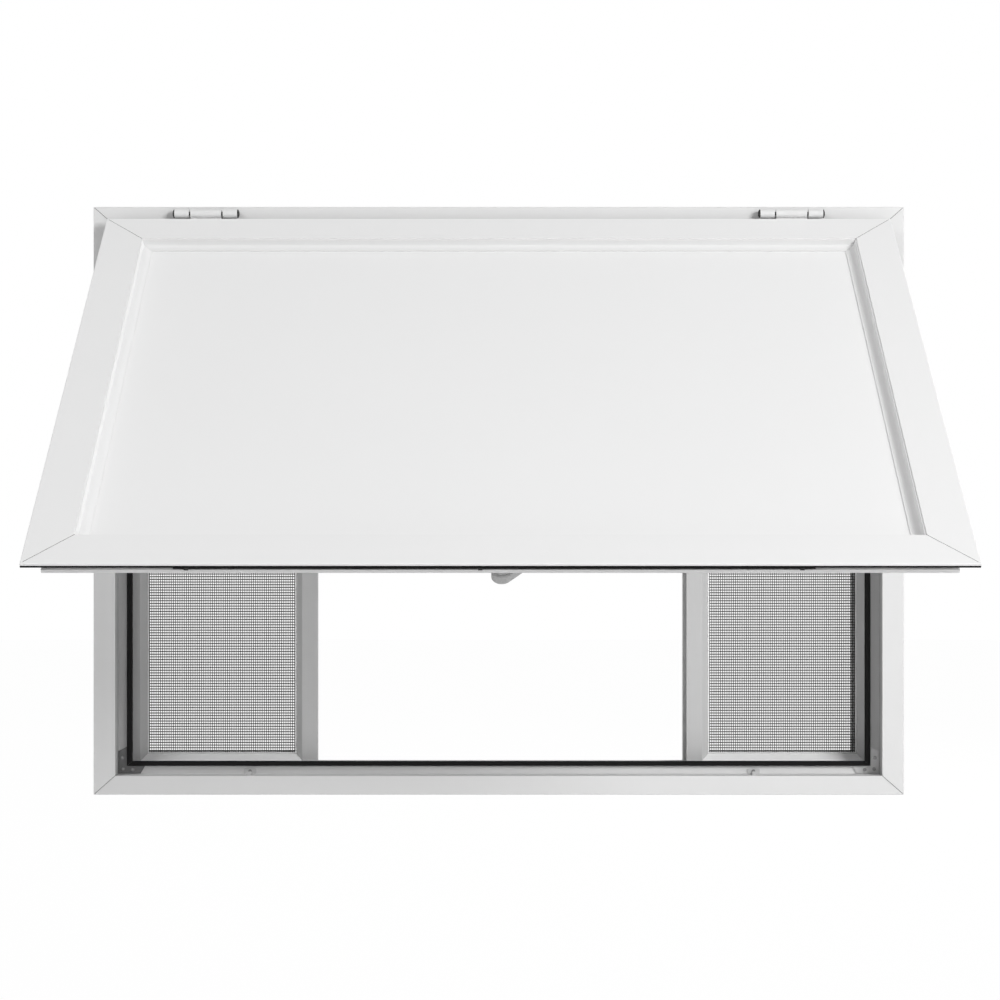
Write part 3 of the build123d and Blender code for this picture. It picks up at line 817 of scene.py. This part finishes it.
def opened(point):
    """A point given on the closed hatch from its hinge axis, moved to where the open hatch has it."""
    turn = Matrix.Rotation(math.radians(-HATCH_OPEN), 4, "X")
    return Vector(HINGE_AXIS) + turn @ Vector(point)


def soften_edges(node):
    """Small rounds on a solid's hard edges, as a coated profile has them."""
    weld = node.modifiers.new("weld", "WELD")
    weld.merge_threshold = WELD_REACH
    rounds = node.modifiers.new("rounds", "BEVEL")
    rounds.width = EDGE_ROUND
    rounds.segments = EDGE_ROUND_SEGMENTS
    rounds.limit_method = "ANGLE"
    rounds.angle_limit = math.radians(SHARP_ANGLE)
    flats = node.modifiers.new("flats", "WEIGHTED_NORMAL")
    flats.mode = "FACE_AREA"
    flats.weight = LARGE_FACES_LEAD


def repeat(obj, name, step, count):
    """An Array modifier that repeats a piece by a fixed step."""
    array = obj.modifiers.new(name, "ARRAY")
    array.use_relative_offset = False
    array.use_constant_offset = True
    array.constant_offset_displace = step
    array.count = count
    array.use_merge_vertices = True
    array.merge_threshold = REPEAT_REACH


# Operators


class WINDOW_OT_coat_parts(bpy.types.Operator):
    """Give every solid of the window its finish"""

    bl_idname = "window.coat_parts"
    bl_label = "Coat Parts"

    def execute(self, context):
        materials = make_materials(context.scene.window_finish)
        for name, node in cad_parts.items():
            node.data.materials.clear()
            node.data.materials.append(materials[finish_of(name)])
            if name.startswith(SOFTENED):
                soften_edges(node)
        return {"FINISHED"}


class WINDOW_OT_insect_mesh(bpy.types.Operator):
    """Weave the wire mesh of the four insect screens, the rear ones' wires behind the front ones'"""

    bl_idname = "window.insect_mesh"
    bl_label = "Insect Mesh"

    def execute(self, context):
        sizes = context.scene.window_mesh
        eye = Vector(context.scene.window_studio.camera_place)
        wire_finish = bpy.data.materials["mesh_wire"]
        for side in ("left", "right"):
            across, up = 2 * sizes.upright_pitch, 2 * sizes.level_pitch
            front_node, rear_node = (f"screen_{side}_{track}_mesh" for track in ("front", "rear"))
            front_start, columns, rows = weave_start(front_node, across, up)
            self.weave(front_node, sizes, front_start, 1.0, columns, rows, wire_finish)
            # The rear weave is just coarser enough to lie behind the front one, seen from outside
            stretch = (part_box(rear_node)[0].y - eye.y) / (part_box(front_node)[0].y - eye.y)
            own_start, columns, rows = weave_start(rear_node, across * stretch, up * stretch)
            behind = eye + (front_start - eye) * stretch
            rear_start = behind + Vector(
                (
                    round((own_start.x - behind.x) / (across * stretch)) * across * stretch,
                    0,
                    round((own_start.z - behind.z) / (up * stretch)) * up * stretch,
                )
            )
            self.weave(rear_node, sizes, rear_start, stretch, columns, rows, wire_finish)
        return {"FINISHED"}

    def weave(self, node, sizes, start, stretch, columns, rows, material):
        """Fill one mesh node with tiles of weave."""
        woven = finished(
            node.replace("_mesh", "_weave"),
            weave_tile(sizes, start, stretch),
            "root",
            material,
        )
        repeat(woven, "columns", (2 * sizes.upright_pitch * stretch, 0, 0), columns)
        repeat(woven, "rows", (0, 0, 2 * sizes.level_pitch * stretch), rows)
        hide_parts(node)


class WINDOW_OT_mesh_cords(bpy.types.Operator):
    """Lay the cord that holds each screen's mesh in its groove"""

    bl_idname = "window.mesh_cords"
    bl_label = "Mesh Cords"

    def execute(self, context):
        sizes = context.scene.window_mesh
        # The cords wear the rails' aluminium, with its painted light
        metal = bpy.data.materials["screen_rail"]
        grip = Vector((MESH_GRIP, 0, MESH_GRIP))
        for screen in SCREENS:
            low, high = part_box(f"{screen}_mesh")
            cord = retaining_cord(low + grip, high - grip, low.y, sizes.cord_width)
            finished(f"{screen}_cord", cord, "root", metal)
        return {"FINISHED"}


class WINDOW_OT_mitre_seams(bpy.types.Operator):
    """Fill the mitred corners of the frame and of the hatch with a hair line of sealant"""

    bl_idname = "window.mitre_seams"
    bl_label = "Mitre Seams"

    def execute(self, context):
        radius = context.scene.window_sealant.radius
        sealant = bpy.data.materials["sealant"]
        for side, x_sign in (("left", -1), ("right", 1)):
            for level in ("bottom", "top"):
                upward = 1 if level == "bottom" else -1
                corner_z = cad_low.z if level == "bottom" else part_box("frame_head")[1].z
                outer = Vector((x_sign * FLANGE_HALF, FLANGE_FRONT, corner_z))
                inner = outer + Vector((-x_sign * JAMB_FLANGE, 0, upward * LEVEL_FLANGE))
                start = outer.lerp(inner, SEAM_START)
                seam = sealant_rod(start, inner, radius)
                finished(f"frame_seam_{level}_{side}", seam, "root", sealant)
                edge = HATCH_EDGES[level]
                outer = Vector((x_sign * HATCH_HALF, HATCH_FRONT, edge))
                inner = outer + Vector((-x_sign * HATCH_BORDER, 0, upward * HATCH_BORDER))
                start = outer.lerp(inner, SEAM_START)
                seam = sealant_rod(opened(start), opened(inner), radius)
                finished(f"hatch_seam_{level}_{side}", seam, "hatch", sealant)
        return {"FINISHED"}


class WINDOW_OT_screws(bpy.types.Operator):
    """Drive the cross head screws of the brackets and keepers"""

    bl_idname = "window.screws"
    bl_label = "Screws"

    def execute(self, context):
        template = screw_template(context.scene.window_screws)
        steel = bpy.data.materials["screw_steel"]
        for level in ("bottom", "top"):
            for side in ("left", "right"):
                name = f"corner_bracket_{level}_{side}"
                low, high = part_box(name)
                inward, corner_x = (1, low.x) if side == "left" else (-1, high.x)
                upward, corner_z = (1, low.z) if level == "bottom" else (-1, high.z)
                places = [
                    Vector((corner_x + inward * across, low.y, corner_z + upward * up))
                    for across, up in BRACKET_SCREWS
                ]
                screws = screw_row(template, places, OUT_OF_WALL)
                finished(f"{name}_screws", screws, "root", steel)
        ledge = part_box("corner_bracket_bottom_left")[1].y
        for side in ("left", "right"):
            name = f"lock_keeper_{side}"
            low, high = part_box(name)
            place = Vector(((low.x + high.x) / 2, ledge - KEEPER_PLATE, low.z + KEEPER_SCREW_HEIGHT))
            screw = screw_row(template, [place], OUT_OF_WALL)
            finished(f"{name}_screw", screw, "root", steel)
        return {"FINISHED"}


# Studio


def area_lamp(name, power, angles, target):
    """Square lamp turned to the target, at an azimuth from straight in front and an elevation."""
    light = bpy.data.lights.new(name, "AREA")
    light.energy = power
    light.size = LAMP_SIZE
    lamp = bpy.data.objects.new(name, light)
    bpy.context.scene.collection.objects.link(lamp)
    azimuth, elevation = (math.radians(angle) for angle in angles)
    level = Vector((math.sin(azimuth), -math.cos(azimuth), 0)) * math.cos(elevation)
    outward = level + Vector((0, 0, math.sin(elevation)))
    lamp.location = target + outward * LAMP_DISTANCE
    lamp.rotation_euler = (-outward).to_track_quat("-Z", "Y").to_euler()
    lamp.visible_glossy = False


def seen_ray(nodes, links):
    """1 on camera, glossy and transmission rays, else 0."""
    path = nodes.new("ShaderNodeLightPath")
    total = path.outputs["Is Camera Ray"]
    for other in ("Is Glossy Ray", "Is Transmission Ray"):
        add = nodes.new("ShaderNodeMath")
        add.operation = "MAXIMUM"
        links.new(total, add.inputs[0])
        links.new(path.outputs[other], add.inputs[1])
        total = add.outputs[0]
    return total


def white_world(sky):
    """World that looks white and lights at the sky's strength."""
    world = bpy.data.worlds.new("studio_world")
    world.use_nodes = True
    nodes, links = world.node_tree.nodes, world.node_tree.links
    light = nodes["Background"]
    light.inputs["Color"].default_value = (1, 1, 1, 1)
    light.inputs["Strength"].default_value = sky
    seen = nodes.new("ShaderNodeBackground")
    seen.inputs["Color"].default_value = (1, 1, 1, 1)
    seen.inputs["Strength"].default_value = 1.0
    mix = nodes.new("ShaderNodeMixShader")
    links.new(seen_ray(nodes, links), mix.inputs[0])
    links.new(light.outputs[0], mix.inputs[1])
    links.new(seen.outputs[0], mix.inputs[2])
    links.new(mix.outputs[0], nodes["World Output"].inputs["Surface"])
    bpy.context.scene.world = world


def floor_material():
    """Pale floor, seen mostly as plain white, that still keeps the window's shadow."""
    material = bpy.data.materials.new("studio_floor")
    material.use_nodes = True
    nodes, links = material.node_tree.nodes, material.node_tree.links
    surface = nodes["Principled BSDF"]
    surface.inputs["Base Color"].default_value = opaque((FLOOR_SHADE,) * 3)
    surface.inputs["Roughness"].default_value = 0.9
    glow = nodes.new("ShaderNodeEmission")
    glow.inputs["Strength"].default_value = 1.0
    share = nodes.new("ShaderNodeMath")
    share.operation = "MULTIPLY"
    links.new(seen_ray(nodes, links), share.inputs[0])
    share.inputs[1].default_value = FLOOR_GLOW
    mix = nodes.new("ShaderNodeMixShader")
    links.new(share.outputs[0], mix.inputs[0])
    links.new(surface.outputs[0], mix.inputs[1])
    links.new(glow.outputs[0], mix.inputs[2])
    links.new(mix.outputs[0], nodes["Material Output"].inputs["Surface"])
    return material


def lay_floor():
    """Wide level floor below the window, which stays out of the part's own size."""
    bm = bmesh.new()
    bmesh.ops.create_grid(bm, x_segments=2, y_segments=2, size=FLOOR_HALF)
    bmesh.ops.translate(bm, verts=bm.verts[:], vec=(0, 0, cad_low.z - FLOOR_BELOW))
    mesh = bpy.data.meshes.new("studio_floor")
    bm.to_mesh(mesh)
    bm.free()
    mesh.materials.append(floor_material())
    floor = bpy.data.objects.new("studio_floor", mesh)
    bpy.context.scene.collection.objects.link(floor)


def place_camera(location, lens):
    """Level camera that looks square at the wall."""
    view = bpy.data.cameras.new("photo_camera")
    view.sensor_width = SENSOR_WIDTH
    view.lens = lens
    view.shift_x = IMAGE_CENTRE_SHIFT
    view.clip_end = FARTHEST_SEEN
    camera = bpy.data.objects.new("photo_camera", view)
    camera.location = location
    camera.rotation_euler = (math.radians(90), 0, 0)
    bpy.context.scene.collection.objects.link(camera)
    bpy.context.scene.camera = camera


class WINDOW_OT_studio(bpy.types.Operator):
    """Set the camera, lamps, white world and floor"""

    bl_idname = "window.studio"
    bl_label = "Studio"

    def execute(self, context):
        sizes = context.scene.window_studio
        target = Vector((0, 0, (cad_low.z + cad_high.z) / 2))
        area_lamp("key_lamp", sizes.key_power, KEY_ANGLES, target)
        area_lamp("fill_lamp", sizes.fill_power, FILL_ANGLES, target)
        area_lamp("room_lamp", sizes.room_power, ROOM_ANGLES, target)
        white_world(sizes.sky)
        lay_floor()
        place_camera(sizes.camera_place, sizes.camera_lens)
        context.scene.view_settings.view_transform = "Standard"
        return {"FINISHED"}


OPERATORS = (
    WINDOW_OT_coat_parts,
    WINDOW_OT_insect_mesh,
    WINDOW_OT_mesh_cords,
    WINDOW_OT_mitre_seams,
    WINDOW_OT_screws,
    WINDOW_OT_studio,
)


class WINDOW_PT_sidebar(bpy.types.Panel):
    """Lists the window's settings and steps"""

    bl_idname = "WINDOW_PT_sidebar"
    bl_label = "Concession Window"
    bl_space_type = "VIEW_3D"
    bl_region_type = "UI"
    bl_category = "Window"

    def draw(self, context):
        for key, group in SETTINGS.items():
            box = self.layout.box()
            for name in group.__annotations__:
                box.prop(getattr(context.scene, key), name)
        for operator in OPERATORS:
            self.layout.operator(operator.bl_idname)


CLASSES = (*SETTINGS.values(), *OPERATORS, WINDOW_PT_sidebar)


def register():
    """Add the classes and their settings to Blender."""
    for cls in CLASSES:
        bpy.utils.register_class(cls)
    for key, group in SETTINGS.items():
        setattr(bpy.types.Scene, key, bpy.props.PointerProperty(type=group))


def unregister():
    """Take the settings and the classes away again."""
    for key in SETTINGS:
        delattr(bpy.types.Scene, key)
    for cls in reversed(CLASSES):
        bpy.utils.unregister_class(cls)


def main():
    """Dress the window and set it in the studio."""
    register()
    bpy.ops.window.coat_parts()
    bpy.ops.window.insect_mesh()
    bpy.ops.window.mesh_cords()
    bpy.ops.window.mitre_seams()
    bpy.ops.window.screws()
    bpy.ops.window.studio()


if __name__ == "__main__":
    main()
